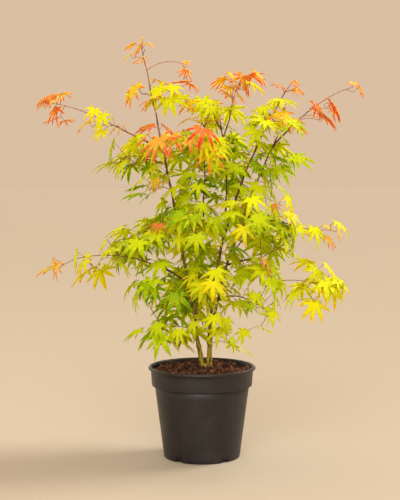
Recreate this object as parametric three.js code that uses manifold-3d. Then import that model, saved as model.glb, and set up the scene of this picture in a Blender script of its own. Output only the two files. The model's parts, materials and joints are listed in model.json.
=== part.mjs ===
// A young japanese maple in a round nursery pot, in millimetres with +Z up.
// The origin is the middle of the pot's flat underside and -Y is the plant's front.
// The pot and its compost are turned solids. Stems and boughs are tapering tubes bent along a
// curve, and each spray of foliage is one uneven closed solid, cut clear of whatever it meets.
import * as THREE from 'three';
import { mergeVertices } from 'three/addons/utils/BufferGeometryUtils.js';
import Module from 'manifold-3d';

const wasm = await Module();
wasm.setup();

// Sizes shared by every part.
const GAP = 0.35;
const WALL = 2.4;
const POT = {
  height: 187,
  baseRadius: 78,
  bodyTopRadius: 97,
  collarFoot: 148,
  collarFootRadius: 103,
  collarTopRadius: 105,
  lipRadius: 110,
  lipHeight: 7,
  floor: 3,
  segments: 40,
};
const NOTCH = { width: 14, height: 6, depth: 10, everyDegrees: 54, firstDegrees: -36, count: 3 };
const SOIL = { top: 179, mound: 4, ripple: 1.2, rings: 3 };
const GROUND = SOIL.top + SOIL.mound + SOIL.ripple + GAP;
const STEM = { sides: 7, rings: 10, flare: 1.6, crowding: 1.6, flareLength: 11 };
const BOUGH = { sides: 6, rings: 6 };

const LOOKS = {
  pot: { color: '#38322f', roughness: 0.55 },
  soil: { color: '#5f3822', roughness: 0.95 },
  stem: { color: '#6a5a20', roughness: 0.7 },
  bough: { color: '#7a4526', roughness: 0.65 },
  green: { color: '#7ca80c', roughness: 0.6 },
  lime: { color: '#aec40c', roughness: 0.6 },
  yellow: { color: '#e2d014', roughness: 0.6 },
  amber: { color: '#f0a020', roughness: 0.6 },
  coral: { color: '#ee7040', roughness: 0.6 },
};

// Stems. Each row holds the name, what it grows from, where on that, the tip, how far the middle
// bows off the straight line, and the radius at the foot and at the tip. A stem from the ground
// gives its foot's [x, y], and one from another stem the fraction of that stem's length.
const STEMS = [
  ['left_stem', 'ground', [0, 10], [-122, 12, 832], [6, -25, 0], [5.6, 1.4]],
  ['right_stem', 'ground', [16, 12], [165, -16, 742], [-43, -12, 0], [5.9, 1.5]],
  ['centre_stem', 'left_stem', 0.14, [6, 22, 674], [6, 16, 0], [3.4, 1.5]],
  ['outer_stem', 'right_stem', 0.07, [150, 26, 645], [-18, 10, 0], [4.2, 2]],
  ['back_stem', 'right_stem', 0.47, [40, 60, 676], [9, 22, 0], [2.8, 1.7]],
].map(limbFrom);

// Boughs, in rows of the same kind.
const BOUGHS = [
  ['bough_far_left_high', 'left_stem', 0.68, [-272, -48, 706], [0, -6, 9], [2.2, 1.2]],
  ['bough_left_high', 'left_stem', 0.64, [-145, 27, 612], [0, 0, 3], [1.8, 1.1]],
  ['bough_left_mid', 'left_stem', 0.45, [-125, 46, 450], [0, 0, 8], [2, 1.2]],
  ['bough_far_left_low', 'left_stem', 0.27, [-262, -66, 402], [0, -18, 33], [2.5, 1.2]],
  ['bough_crest_left', 'back_stem', 0.98, [-33, 42, 784], [-2, 0, 5], [1.7, 1.1]],
  ['bough_crest_right', 'back_stem', 0.9, [66, 50, 756], [4, 0, 0], [1.7, 1.1]],
  ['bough_far_right_high', 'outer_stem', 0.98, [288, -21, 748], [-5, 0, 10], [1.9, 1.1]],
  ['bough_far_right_mid', 'outer_stem', 0.64, [232, -8, 462], [0, -4, 4], [1.8, 1.1]],
  ['bough_far_right_low', 'outer_stem', 0.4, [196, -53, 368], [0, -18, 26], [2.2, 1.2]],
  ['bough_low_right', 'outer_stem', 0.23, [114, -35, 308], [0, -8, 18], [1.9, 1.1]],
  ['bough_back_left', 'centre_stem', 0.38, [-36, 108, 470], [0, 8, 4], [2, 1.2]],
  ['bough_back_right', 'outer_stem', 0.42, [106, 108, 460], [0, 8, 4], [2, 1.2]],
].map(limbFrom);

// Masses of foliage. Each row holds the name, the tint, the limb that carries it, its middle, its
// half sizes (wide, deep, tall), and its tilt in degrees, with the right end raised.
const MASSES = [
  ['leaves_foot_left', 'green', 'left_stem', [-66, -14, 250], [62, 40, 31], -10],
  ['leaves_foot_right', 'green', 'right_stem', [56, 20, 232], [26, 28, 22], 10],
  ['leaves_foot_centre', 'yellow', 'right_stem', [28, -52, 287], [40, 30, 30], 10],
  ['leaves_low_left', 'green', 'left_stem', [-88, -25, 342], [48, 42, 38], 15],
  ['leaves_low_centre', 'yellow', 'right_stem', [20, -76, 360], [46, 38, 34], 8],
  ['leaves_low_right', 'green', 'outer_stem', [82, 2, 330], [36, 40, 34], -10],
  ['leaves_low_tip', 'yellow', 'bough_low_right', [126, -36, 296], [34, 26, 33], -30],
  ['leaves_low_back', 'green', 'left_stem', [-30, 92, 322], [60, 54, 48], 6],
  ['leaves_left_mid', 'lime', 'bough_left_mid', [-140, 46, 424], [60, 50, 44], 12],
  ['leaves_left_inner', 'lime', 'left_stem', [-92, -32, 440], [46, 40, 38], 10],
  ['leaves_far_left_low', 'yellow', 'bough_far_left_low', [-205, -62, 402], [54, 32, 29], 8],
  ['leaves_far_left_tip', 'coral', 'bough_far_left_low', [-280, -66, 392], [30, 23, 25], -15],
  ['leaves_centre_low', 'green', 'centre_stem', [-6, 60, 410], [50, 48, 46], 0],
  ['leaves_right_low', 'lime', 'bough_far_right_low', [122, -32, 372], [50, 40, 35], -8],
  ['leaves_far_right_low', 'yellow', 'bough_far_right_low', [224, -56, 358], [58, 33, 31], -28],
  ['leaves_right_mid', 'lime', 'outer_stem', [157, 15, 440], [52, 50, 34], 0],
  ['leaves_far_right_mid', 'amber', 'bough_far_right_mid', [244, -10, 460], [35, 30, 30], 0],
  ['leaves_front_mid', 'lime', 'left_stem', [-12, -98, 478], [46, 44, 42], 5],
  ['leaves_right_front', 'lime', 'right_stem', [86, -100, 478], [44, 46, 40], -10],
  ['leaves_centre_mid', 'green', 'centre_stem', [-18, 8, 545], [44, 52, 48], 0],
  ['leaves_right_upper', 'yellow', 'outer_stem', [142, 5, 512], [42, 42, 36], -20],
  ['leaves_back_left', 'green', 'bough_back_left', [-55, 135, 465], [66, 58, 46], 0],
  ['leaves_back_right', 'green', 'bough_back_right', [112, 138, 455], [64, 58, 50], 0],
  ['leaves_left_upper', 'lime', 'left_stem', [-92, -10, 558], [50, 38, 27], 14],
  ['leaves_left_high', 'lime', 'bough_left_high', [-148, 30, 604], [52, 40, 30], 14],
  ['leaves_left_coral', 'coral', 'left_stem', [-82, -52, 640], [46, 30, 28], -8],
  ['leaves_front_coral', 'coral', 'right_stem', [12, -76, 628], [46, 26, 32], -5],
  ['leaves_upper_left', 'green', 'centre_stem', [-24, 50, 634], [52, 42, 40], 0],
  ['leaves_upper_right', 'green', 'outer_stem', [112, 26, 590], [76, 44, 42], 25],
  ['leaves_back_high', 'green', 'back_stem', [40, 132, 600], [72, 52, 56], 0],
  ['leaves_right_high', 'lime', 'right_stem', [134, -32, 672], [52, 36, 36], -8],
  ['leaves_far_left_mid', 'yellow', 'bough_far_left_high', [-194, -42, 672], [36, 28, 35], 0],
  ['leaves_far_left_high', 'coral', 'bough_far_left_high', [-280, -48, 712], [36, 27, 38], -20],
  ['leaves_crest', 'lime', 'bough_crest_left', [2, 46, 716], [56, 40, 30], 5],
  ['leaves_crest_left', 'coral', 'bough_crest_left', [-33, 42, 778], [24, 20, 30], 0],
  ['leaves_crest_right', 'amber', 'bough_crest_right', [82, 46, 762], [42, 34, 44], -5],
  ['leaves_right_tip', 'coral', 'right_stem', [167, -18, 746], [27, 20, 26], 10],
  ['leaves_far_right_high', 'coral', 'bough_far_right_high', [228, -4, 704], [45, 28, 29], -5],
  ['leaves_far_right_top', 'coral', 'bough_far_right_high', [298, -22, 750], [24, 19, 20], 0],
  ['leaves_leader_low', 'yellow', 'left_stem', [-96, 0, 742], [56, 30, 26], 12],
  ['leaves_leader_top', 'amber', 'left_stem', [-122, 10, 812], [33, 22, 38], 0],
].map(massFrom);
const UNEVEN = { bumps: 11, height: 0.26, sharpness: 7, swell: 1.24, droop: 0.32, fineAbove: 53 };

/** The named sizes of a limb from its row. */
function limbFrom([name, from, at, tip, bow, thick]) {
  const rooted = from === 'ground';
  return { name, from, at, tip, bow, thick, rooted, flare: rooted ? STEM.flare : 0 };
}

/** The named sizes of a mass from its row. */
function massFrom([name, tint, on, middle, half, tilt]) {
  return { name, tint, on, middle, half, tilt };
}

/** A repeatable run of numbers between 0 and 1 from a whole-number seed. */
function randomFrom(seed) {
  let state = seed * 2654435761 + 12345;
  return () => {
    state = (Math.imul(state ^ (state >>> 15), 2246822519) + 3266489917) >>> 0;
    return ((state ^ (state >>> 13)) >>> 0) / 4294967296;
  };
}

/** The closed solid of a three.js geometry, with its shared corners merged. */
function solidOf(geometry) {
  const plain = geometry.clone();
  plain.deleteAttribute('normal');
  plain.deleteAttribute('uv');
  const merged = mergeVertices(plain, 1e-3);
  return new wasm.Manifold(new wasm.Mesh({
    numProp: 3,
    vertProperties: merged.attributes.position.array,
    triVerts: Uint32Array.from(merged.index.array),
  }));
}

/** A named mesh of a solid, in its own material. */
function meshOf(name, solid, look) {
  const { vertProperties, triVerts } = solid.getMesh();
  const geometry = new THREE.BufferGeometry();
  geometry.setAttribute('position', new THREE.BufferAttribute(Float32Array.from(vertProperties), 3));
  geometry.setIndex(new THREE.BufferAttribute(Uint32Array.from(triVerts), 1));
  geometry.computeVertexNormals();
  const mesh = new THREE.Mesh(geometry, new THREE.MeshStandardMaterial({ ...LOOKS[look], metalness: 0 }));
  mesh.name = name;
  return mesh;
}

/** The largest of the pieces that a cut leaves. */
function largestPiece(solid) {
  return solid.decompose().reduce((best, piece) => (piece.volume() > best.volume() ? piece : best));
}

/** A solid of revolution about Z from its profile of [radius, height] points. */
function turned(profile) {
  const points = profile.map(([radius, height]) => new THREE.Vector2(radius, height));
  return new THREE.LatheGeometry(points, POT.segments).rotateX(Math.PI / 2);
}

/** The inner radius of the tapering pot body at a height. */
function innerRadius(height) {
  const slope = (POT.bodyTopRadius - POT.baseRadius) / POT.collarFoot;
  return POT.baseRadius + slope * height - WALL;
}

/** The pot: tapering body, stacking collar, rolled lip and drain notches in the foot. */
function potSolid() {
  const collarInner = POT.collarTopRadius - WALL;
  const lipFoot = POT.height - POT.lipHeight;
  const shell = solidOf(turned([
    [0, 0],
    [POT.baseRadius, 0],
    [POT.bodyTopRadius, POT.collarFoot],
    [POT.collarFootRadius, POT.collarFoot + 1],
    [POT.collarTopRadius, lipFoot],
    [POT.lipRadius - 1, lipFoot + 0.5],
    [POT.lipRadius, lipFoot + 3.5],
    [POT.lipRadius - 2.5, POT.height],
    [collarInner, POT.height - 1.5],
    [POT.collarFootRadius - WALL, POT.collarFoot + 5],
    [innerRadius(POT.collarFoot), POT.collarFoot - 1],
    [innerRadius(POT.floor), POT.floor],
    [0, POT.floor],
  ]));
  return [-1, 1].flatMap((side) => Array.from({ length: NOTCH.count }, (_, i) => {
    const angle = THREE.MathUtils.degToRad(side * (NOTCH.everyDegrees * i - NOTCH.firstDegrees) - 90);
    const box = new THREE.BoxGeometry(NOTCH.depth, NOTCH.width, 2 * NOTCH.height);
    return solidOf(box.translate(POT.baseRadius, 0, 0).rotateZ(angle));
  })).reduce((pot, notch) => pot.subtract(notch), shell);
}

/** The compost: fills the pot with a small gap, slightly mounded round the stems and uneven on top. */
function soilSolid() {
  const side = [
    [0, POT.floor + GAP],
    [innerRadius(POT.floor) - GAP, POT.floor + GAP],
    [innerRadius(POT.collarFoot) - GAP, POT.collarFoot - 1],
    [POT.collarFootRadius - WALL - GAP, POT.collarFoot + 5 + GAP],
  ];
  const edge = POT.collarFootRadius - WALL;
  const top = Array.from({ length: SOIL.rings + 1 }, (_, i) => {
    const across = 1 - i / SOIL.rings;
    return [edge * across, SOIL.top + SOIL.mound * (1 - across * across)];
  });
  const geometry = turned([...side, ...top]);
  const at = geometry.attributes.position;
  for (let i = 0; i < at.count; i += 1) {
    const [x, y, z] = [at.getX(i), at.getY(i), at.getZ(i)];
    const wave = Math.sin(x / 13 + 1) * Math.cos(y / 11) * SOIL.ripple;
    at.setZ(i, z >= SOIL.top ? z + wave : z);
  }
  return solidOf(geometry);
}

/** The centre curve of a limb, through its foot, its bowed middle and its tip. */
function curveOf({ rooted, from, at, tip, bow }, curves) {
  const start = rooted ? new THREE.Vector3(...at, GROUND) : curves.get(from).getPoint(at);
  const end = new THREE.Vector3(...tip);
  const middle = start.clone().add(end).multiplyScalar(0.5).add(new THREE.Vector3(...bow));
  const control = middle.multiplyScalar(2).sub(start.clone().add(end).multiplyScalar(0.5));
  return new THREE.QuadraticBezierCurve3(start, control, end);
}

/** A tapering tube along a curve, cut level where it stands on the ground, and grown by extra. */
function tube(limb, curve, { sides, rings }, extra = 0) {
  const geometry = new THREE.CylinderGeometry(1, 1, 1, sides, rings, false);
  const length = curve.getLength();
  const at = geometry.attributes.position;
  const up = new THREE.Vector3(0, 0, 1);
  for (let i = 0; i < at.count; i += 1) {
    const along = THREE.MathUtils.clamp(at.getY(i) + 0.5, 0, 1);
    const spine = along ** (limb.rooted ? STEM.crowding : 1);
    const radius = THREE.MathUtils.lerp(...limb.thick, spine)
      + limb.flare * Math.exp((-spine * length) / STEM.flareLength) + extra;
    const tangent = curve.getTangent(spine);
    const axis = limb.rooted && along === 0 ? up : tangent;
    const across = new THREE.Vector3(0, 1, 0).cross(axis).normalize();
    const other = axis.clone().cross(across);
    const point = curve.getPoint(spine)
      .addScaledVector(across, at.getX(i) * radius)
      .addScaledVector(other, -at.getZ(i) * radius);
    at.setXYZ(i, point.x, point.y, point.z);
  }
  return solidOf(geometry);
}

/** One uneven closed mass: a ball of facets with rounded bumps, a hanging rim and a tilt. */
function massSolid({ middle, half, tilt }, seed, extra = 0) {
  const random = randomFrom(seed);
  const geometry = new THREE.IcosahedronGeometry(1, Math.max(...half) > UNEVEN.fineAbove ? 2 : 1);
  const bumps = Array.from({ length: UNEVEN.bumps }, () => new THREE.Vector3(
    random() - 0.5,
    random() - 0.5,
    random() - 0.5,
  ).normalize());
  const at = geometry.attributes.position;
  const point = new THREE.Vector3();
  for (let i = 0; i < at.count; i += 1) {
    point.fromBufferAttribute(at, i);
    const lift = bumps.reduce((most, bump) => Math.max(most, point.dot(bump)), 0) ** UNEVEN.sharpness;
    const rim = point.x * point.x + point.y * point.y;
    point.multiplyScalar(UNEVEN.swell * (1 - UNEVEN.height + UNEVEN.height * lift));
    point.z -= UNEVEN.droop * (rim - 0.5);
    at.setXYZ(i, point.x * (half[0] + extra), point.y * (half[1] + extra), point.z * (half[2] + extra));
  }
  geometry.rotateY(-THREE.MathUtils.degToRad(tilt)).translate(...middle);
  return solidOf(geometry);
}

const plant = new THREE.Group();
plant.add(meshOf('pot', potSolid(), 'pot'));
plant.add(meshOf('soil', soilSolid(), 'soil'));

// Limbs as whole tubes, with a slightly fatter copy of each to cut its neighbours clear.
const curves = new Map();
const limbs = new Map();
for (const [kind, list] of [[STEM, STEMS], [BOUGH, BOUGHS]]) {
  for (const limb of list) {
    const curve = curveOf(limb, curves);
    curves.set(limb.name, curve);
    limbs.set(limb.name, { solid: tube(limb, curve, kind), room: tube(limb, curve, kind, GAP) });
  }
}

// Masses, each cut clear of the ones before it.
const masses = MASSES.map((mass, i) => ({
  ...mass,
  solid: massSolid(mass, i + 1),
  room: massSolid(mass, i + 1, 2 * GAP),
}));
masses.forEach((mass, i) => {
  masses.slice(0, i).forEach((earlier) => {
    mass.solid = mass.solid.subtract(earlier.room);
  });
});

// Each limb stands clear of the ones before it, and a bough ends where it enters the masses it carries.
const ALL_LIMBS = [...STEMS, ...BOUGHS];
ALL_LIMBS.forEach((limb, i) => {
  const entry = limbs.get(limb.name);
  ALL_LIMBS.slice(0, i).forEach((earlier) => {
    entry.solid = entry.solid.subtract(limbs.get(earlier.name).room);
  });
  if (BOUGHS.includes(limb)) {
    masses.filter((mass) => mass.on === limb.name).forEach((mass) => {
      entry.solid = entry.solid.subtract(mass.room);
    });
  }
  entry.solid = largestPiece(entry.solid);
  plant.add(meshOf(limb.name, entry.solid, STEMS.includes(limb) ? 'stem' : 'bough'));
});

// Masses are then cut round the stems, and round any bough that only passes through them.
masses.forEach((mass) => {
  for (const limb of ALL_LIMBS) {
    const ends = BOUGHS.includes(limb) && mass.on === limb.name;
    if (!ends) mass.solid = mass.solid.subtract(limbs.get(limb.name).room);
  }
  plant.add(meshOf(mass.name, largestPiece(mass.solid).simplify(GAP / 4), mass.tint));
});

export default plant;
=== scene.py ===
"""A young japanese maple in a round nursery pot, dressed round its fixed frame.

The frame gives the places: the centre line and thickness of every stem and bough, and the space that
each mass of foliage fills. Shoots, leaf stalks and lobed leaves are grown from those limbs by a seeded
rule, and the pot and its compost are turned and strewn to their own sizes. Metres throughout.
"""
import json
import logging
import math
from collections.abc import Callable
from dataclasses import dataclass, field
from enum import Enum

import bpy
import numpy as np
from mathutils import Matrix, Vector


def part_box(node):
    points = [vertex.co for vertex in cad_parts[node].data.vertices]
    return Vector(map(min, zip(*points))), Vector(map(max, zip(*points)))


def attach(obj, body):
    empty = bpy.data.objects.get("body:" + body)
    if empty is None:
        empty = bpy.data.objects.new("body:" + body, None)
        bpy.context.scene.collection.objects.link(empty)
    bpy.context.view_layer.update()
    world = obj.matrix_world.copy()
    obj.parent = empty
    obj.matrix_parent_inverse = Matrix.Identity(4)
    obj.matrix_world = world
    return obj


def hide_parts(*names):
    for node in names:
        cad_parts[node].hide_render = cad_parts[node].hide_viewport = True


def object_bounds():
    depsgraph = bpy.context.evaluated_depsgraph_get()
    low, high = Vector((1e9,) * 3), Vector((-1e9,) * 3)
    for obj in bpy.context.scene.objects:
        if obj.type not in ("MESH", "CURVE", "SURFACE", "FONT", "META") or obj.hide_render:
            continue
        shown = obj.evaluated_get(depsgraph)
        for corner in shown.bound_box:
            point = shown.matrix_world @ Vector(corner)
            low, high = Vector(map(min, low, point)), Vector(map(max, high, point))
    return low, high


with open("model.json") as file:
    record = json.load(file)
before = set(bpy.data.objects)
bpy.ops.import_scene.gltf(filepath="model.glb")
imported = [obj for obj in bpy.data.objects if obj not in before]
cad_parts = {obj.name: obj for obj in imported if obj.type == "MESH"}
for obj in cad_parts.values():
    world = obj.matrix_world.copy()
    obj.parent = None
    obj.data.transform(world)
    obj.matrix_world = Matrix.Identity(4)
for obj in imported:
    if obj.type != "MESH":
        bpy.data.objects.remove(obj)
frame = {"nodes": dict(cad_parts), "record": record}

CAD_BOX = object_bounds()
MM = 0.001
UP = np.array([0.0, 0.0, 1.0])
FRONT_TO_BACK = np.array([0.0, 1.0, 0.0])
LEVEL = np.array([1.0, 1.0, 0.0])
Array = np.ndarray
Range = tuple[float, float]
Relief = Callable[[Array, Array], Array]
Material = bpy.types.Material
Piece = bpy.types.Object
Socket = bpy.types.NodeSocket
log = logging.getLogger("maple")


# ---- small helpers


def linear(hex_colour: str) -> tuple[float, float, float, float]:
    """Turn an sRGB hex colour into linear red, green, blue and full alpha.

    Args:
        hex_colour: The colour as "#rrggbb".

    Returns:
        The linear colour.
    """
    parts = [int(hex_colour[i : i + 2], 16) / 255 for i in (1, 3, 5)]
    light = [p / 12.92 if p <= 0.04045 else ((p + 0.055) / 1.055) ** 2.4 for p in parts]
    return (light[0], light[1], light[2], 1.0)


def unit(vectors: Array) -> Array:
    """Scale vectors along the last axis to a length of one."""
    return vectors / np.maximum(np.linalg.norm(vectors, axis=-1, keepdims=True), 1e-12)


def smooth_step(low: float, high: float, value: Array) -> Array:
    """Rise from 0 at low to 1 at high along the curve 3t squared less 2t cubed."""
    t = np.clip((value - low) / (high - low), 0.0, 1.0)
    return t * t * (3 - 2 * t)


def distances(path: Array) -> Array:
    """Give how far each point of a path is along it."""
    return np.concatenate([[0], np.cumsum(np.linalg.norm(np.diff(path, axis=0), axis=1))])


def arch(foot: Array, bend: Array, tip: Array, count: int) -> Array:
    """Give evenly timed points of the curve from foot to tip that is drawn towards bend."""
    t = np.linspace(0, 1, count)[:, None]
    return (1 - t) ** 2 * foot + 2 * t * (1 - t) * bend + t**2 * tip


def mesh_piece(name: str, points: Array, faces: list[Array], materials: list[Material],
               slots: Array | None = None, smooth: bool = True) -> Piece:
    """Put vertex and face arrays into a new object at the origin.

    Args:
        name: The piece's name.
        points: Vertices, one row each.
        faces: Arrays of vertex numbers, each with one face to a row and its own number of corners.
        materials: The piece's materials.
        slots: The material number of each face, in the order of faces.
        smooth: Whether faces are shaded smooth.

    Returns:
        The object, linked to the scene.
    """
    mesh = bpy.data.meshes.new(name)
    faces = [f for f in faces if len(f)]
    corners = np.concatenate([f.ravel() for f in faces]).astype(np.int32)
    counts = np.concatenate([np.full(len(f), f.shape[1]) for f in faces]).astype(np.int32)
    mesh.vertices.add(len(points))
    mesh.vertices.foreach_set("co", np.ascontiguousarray(points, dtype=np.float32).ravel())
    mesh.loops.add(len(corners))
    mesh.loops.foreach_set("vertex_index", corners)
    mesh.polygons.add(len(counts))
    mesh.polygons.foreach_set("loop_start", np.concatenate([[0], np.cumsum(counts)[:-1]]).astype(np.int32))
    mesh.polygons.foreach_set("use_smooth", np.full(len(counts), smooth))
    for material in materials:
        mesh.materials.append(material)
    if slots is not None:
        mesh.polygons.foreach_set("material_index", slots.astype(np.int32))
    mesh.update(calc_edges=True)
    mesh.validate()
    piece = bpy.data.objects.new(name, mesh)
    bpy.context.scene.collection.objects.link(piece)
    return piece


def turned_faces(rows: int, columns: int) -> list[Array]:
    """Number the faces of a closed turned shape.

    Its vertices come ring by ring, and after them the middle of the first ring and that of the last.

    Args:
        rows: How many rings there are.
        columns: How many vertices each ring has.

    Returns:
        The wall's four-cornered faces, and the fan of triangles that closes either end.
    """
    side = np.arange(columns)
    after = (side + 1) % columns
    foot = columns * np.arange(rows - 1)[:, None]
    wall = np.stack([foot + side, foot + after, foot + columns + after, foot + columns + side], axis=-1)
    last = columns * (rows - 1)
    middle = np.full(columns, columns * rows)
    return [wall.reshape(-1, 4), np.stack([after, side, middle], axis=1),
            np.stack([last + side, last + after, middle + 1], axis=1)]


class Shapes:
    """Collects vertices and faces of many small shapes that end up in one piece."""

    def __init__(self) -> None:
        """Start with nothing."""
        self.points: list[Array] = []
        self.faces: dict[int, list[Array]] = {3: [], 4: []}
        self.count = 0

    def add(self, points: Array, *faces: Array) -> None:
        """Add vertices and the faces that number them from zero."""
        self.points.append(points)
        for f in faces:
            self.faces[f.shape[1]].append(f + self.count)
        self.count += len(points)

    def piece(self, name: str, material: Material) -> Piece:
        """Make the piece of everything collected."""
        faces = [np.concatenate(f) for f in self.faces.values() if f]
        return mesh_piece(name, np.concatenate(self.points), faces, [material])


# ---- finishes


class NodeMaterial:
    """A new material whose one Principled shader is joined to its output, and ways to feed that shader."""

    def __init__(self, name: str, **inputs) -> None:
        """Start the material, with values for the shader's inputs as in add."""
        self.material = bpy.data.materials.new(name)
        self.material.use_nodes = True
        self.tree = self.material.node_tree
        self.tree.nodes.clear()
        self.shader = self.add("ShaderNodeBsdfPrincipled", **inputs)
        self.add("ShaderNodeOutputMaterial", Surface=self.shader.outputs["BSDF"])

    def add(self, kind: str, settings: dict | None = None, **inputs) -> bpy.types.Node:
        """Add one node, set it up and link or fill its inputs.

        Args:
            kind: The node's type name.
            settings: Properties of the node itself.
            **inputs: Values or output sockets by input name, with _ for a space, or by _ and a number.

        Returns:
            The new node.
        """
        node = self.tree.nodes.new(kind)
        for name, value in (settings or {}).items():
            setattr(node, name, value)
        for name, value in inputs.items():
            socket = node.inputs[int(name[1:]) if name[1:].isdigit() else name.replace("_", " ")]
            if isinstance(value, Socket):
                self.tree.links.new(value, socket)
            else:
                socket.default_value = value
        return node

    def feed(self, name: str, socket: Socket) -> None:
        """Link a socket to one of the shader's inputs."""
        self.tree.links.new(socket, self.shader.inputs[name])

    def place(self) -> Socket:
        """Give the place on the piece, in metres."""
        return self.add("ShaderNodeTexCoord").outputs["Object"]

    def noise(self, place: Socket, size: float, detail: float,
              roughness: float = 0.5) -> Socket:
        """Give noise with features of about a size, in metres."""
        node = self.add("ShaderNodeTexNoise", Vector=place, Scale=1 / size, Detail=detail,
                        Roughness=roughness)
        return node.outputs["Fac"]

    def carry(self, value: Socket, start: Range,
              end: Range = (0.0, 1.0)) -> Socket:
        """Carry a value over from one range to another."""
        node = self.add("ShaderNodeMapRange", Value=value, From_Min=start[0], From_Max=start[1],
                        To_Min=end[0], To_Max=end[1])
        return node.outputs["Result"]

    def ramp(self, value: Socket, stops: list[tuple[float, str]]) -> Socket:
        """Turn a value into colour through stops of (value, sRGB hex colour)."""
        node = self.add("ShaderNodeValToRGB", Fac=value)
        band = node.color_ramp
        while len(band.elements) < len(stops):
            band.elements.new(0.5)
        for element, (place, colour) in zip(band.elements, stops):
            element.position = place
            element.color = linear(colour)
        return node.outputs["Color"]

    def relief(self, height: Socket, strength: float, depth: float) -> None:
        """Let the light catch a height as fine relief."""
        self.feed("Normal", self.add("ShaderNodeBump", Strength=strength, Distance=depth,
                                     Height=height).outputs["Normal"])


@dataclass(frozen=True)
class MouldedPlastic:
    """Recycled polypropylene, injection moulded: satin black-brown, faintly mottled, fine mould grain."""

    dark: str = "#141213"
    mid: str = "#1c191a"
    dusty: str = "#292526"
    tones: tuple[float, float, float] = (0.3, 0.55, 0.82)
    mottle: float = 28 * MM
    roughness: Range = (0.38, 0.58)
    dusted: Range = (0.3, 0.75)
    index: float = 1.49
    grain: float = 0.5 * MM
    grain_depth: float = 0.3 * MM
    grain_strength: float = 0.12

    def material(self) -> Material:
        """Build the material: a soft mottle of dust over the pigment, and a grain that catches light."""
        look = NodeMaterial("moulded_polypropylene", IOR=self.index)
        place = look.place()
        mottle = look.noise(place, self.mottle, detail=5.0, roughness=0.62)
        look.feed("Base Color", look.ramp(mottle, list(zip(self.tones, (self.dark, self.mid, self.dusty)))))
        look.feed("Roughness", look.carry(mottle, self.dusted, self.roughness))
        look.relief(look.noise(place, self.grain, detail=2.0), self.grain_strength, self.grain_depth)
        return look.material


@dataclass(frozen=True)
class BarkChip:
    """Composted pine bark: matt, fibrous, from near black where damp to rust brown where it has dried."""

    name: str
    damp: str
    dry: str
    tones: Range = (0.32, 0.68)
    patch: float = 13.2 * MM
    fibre: float = 2.2 * MM
    fibre_depth: float = 0.8 * MM
    fibre_strength: float = 0.6
    roughness: float = 0.92
    gloss: float = 0.25

    def material(self) -> Material:
        """Build the material: fibres run through each chip, and damp and dry patches lie across it."""
        look = NodeMaterial(self.name, Roughness=self.roughness, Specular_IOR_Level=self.gloss)
        place = look.place()
        patch = look.noise(place, self.patch, detail=6.0, roughness=0.7)
        look.feed("Base Color", look.ramp(patch, list(zip(self.tones, (self.damp, self.dry)))))
        look.relief(look.noise(place, self.fibre, detail=4.0), self.fibre_strength, self.fibre_depth)
        return look.material


@dataclass(frozen=True)
class YoungBark:
    """Thin young maple bark, satin and finely ridged: four colours from a low height to a high one."""

    name: str
    low: float
    high: float
    colours: tuple[str, str, str, str]
    levels: tuple[float, float, float, float] = (0.0, 0.22, 0.55, 1.0)
    wander: Range = (-0.16, 0.16)
    wandered: Range = (0.3, 0.7)
    ridge: float = 3.2 * MM
    ridge_depth: float = 0.5 * MM
    ridge_strength: float = 0.5
    stretch: float = 9.0
    streak: str = "#6a4c38"
    streaked: Range = (0.4, 0.56)
    roughness: float = 0.58
    gloss: float = 0.4

    def material(self) -> Material:
        """Build the material: colour follows height, and dark lengthwise streaks lie over it."""
        look = NodeMaterial(self.name, Roughness=self.roughness, Specular_IOR_Level=self.gloss)
        place = look.place()
        height = look.add("ShaderNodeSeparateXYZ", Vector=place).outputs["Z"]
        drawn = look.add("ShaderNodeMapping", Vector=place, Scale=(1.0, 1.0, 1 / self.stretch))
        streak = look.noise(drawn.outputs["Vector"], self.ridge, detail=4.0, roughness=0.6)
        wander = look.carry(streak, self.wandered, self.wander)
        level = look.carry(height, (self.low, self.high))
        mixed = look.add("ShaderNodeMath", {"operation": "ADD"}, _0=level, _1=wander)
        colour = look.ramp(mixed.outputs["Value"], list(zip(self.levels, self.colours)))
        shade = look.ramp(streak, list(zip(self.streaked, (self.streak, "#ffffff"))))
        over = look.add("ShaderNodeMix", {"data_type": "RGBA", "blend_type": "MULTIPLY"}, Factor=1.0,
                        _6=colour, _7=shade)
        look.feed("Base Color", over.outputs[2])
        look.relief(streak, self.ridge_strength, self.ridge_depth)
        return look.material


@dataclass(frozen=True)
class LeafBlade:
    """One zone of a thin maple leaf: soft satin cuticle, with light passing through the blade."""

    name: str
    colour: str
    roughness: float = 0.5
    gloss: float = 0.07
    glow: float = 0.9
    depth: float = 2.5 * MM
    passes: tuple[float, float, float] = (1.0, 0.9, 0.25)

    def material(self) -> Material:
        """Build the material: one plain colour, so that a spray keeps its tint wherever it is seen."""
        return NodeMaterial(self.name, Base_Color=linear(self.colour), Roughness=self.roughness,
                            Specular_IOR_Level=self.gloss, Subsurface_Weight=self.glow,
                            Subsurface_Radius=self.passes, Subsurface_Scale=self.depth).material


class Tint(Enum):
    """The season's tints from summer green to young coral: (record slot, heart, blade, lobe tips)."""

    DEEP = ("leaf_green", "#94b208", "#769e06", "#6a9406")
    GREEN = ("leaf_green", "#b6c80a", "#9ab406", "#92aa06")
    LIME = ("leaf_lime", "#c8d00c", "#b6c408", "#b6b208")
    YELLOW = ("leaf_yellow", "#d8d20e", "#d0c608", "#d2ac0c")
    AMBER = ("leaf_amber", "#d6b41e", "#d69220", "#d06826")
    CORAL = ("leaf_coral", "#e0a63a", "#da763e", "#d0522e")
    RED = ("leaf_coral", "#dc7034", "#ca422a", "#b83222")


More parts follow.
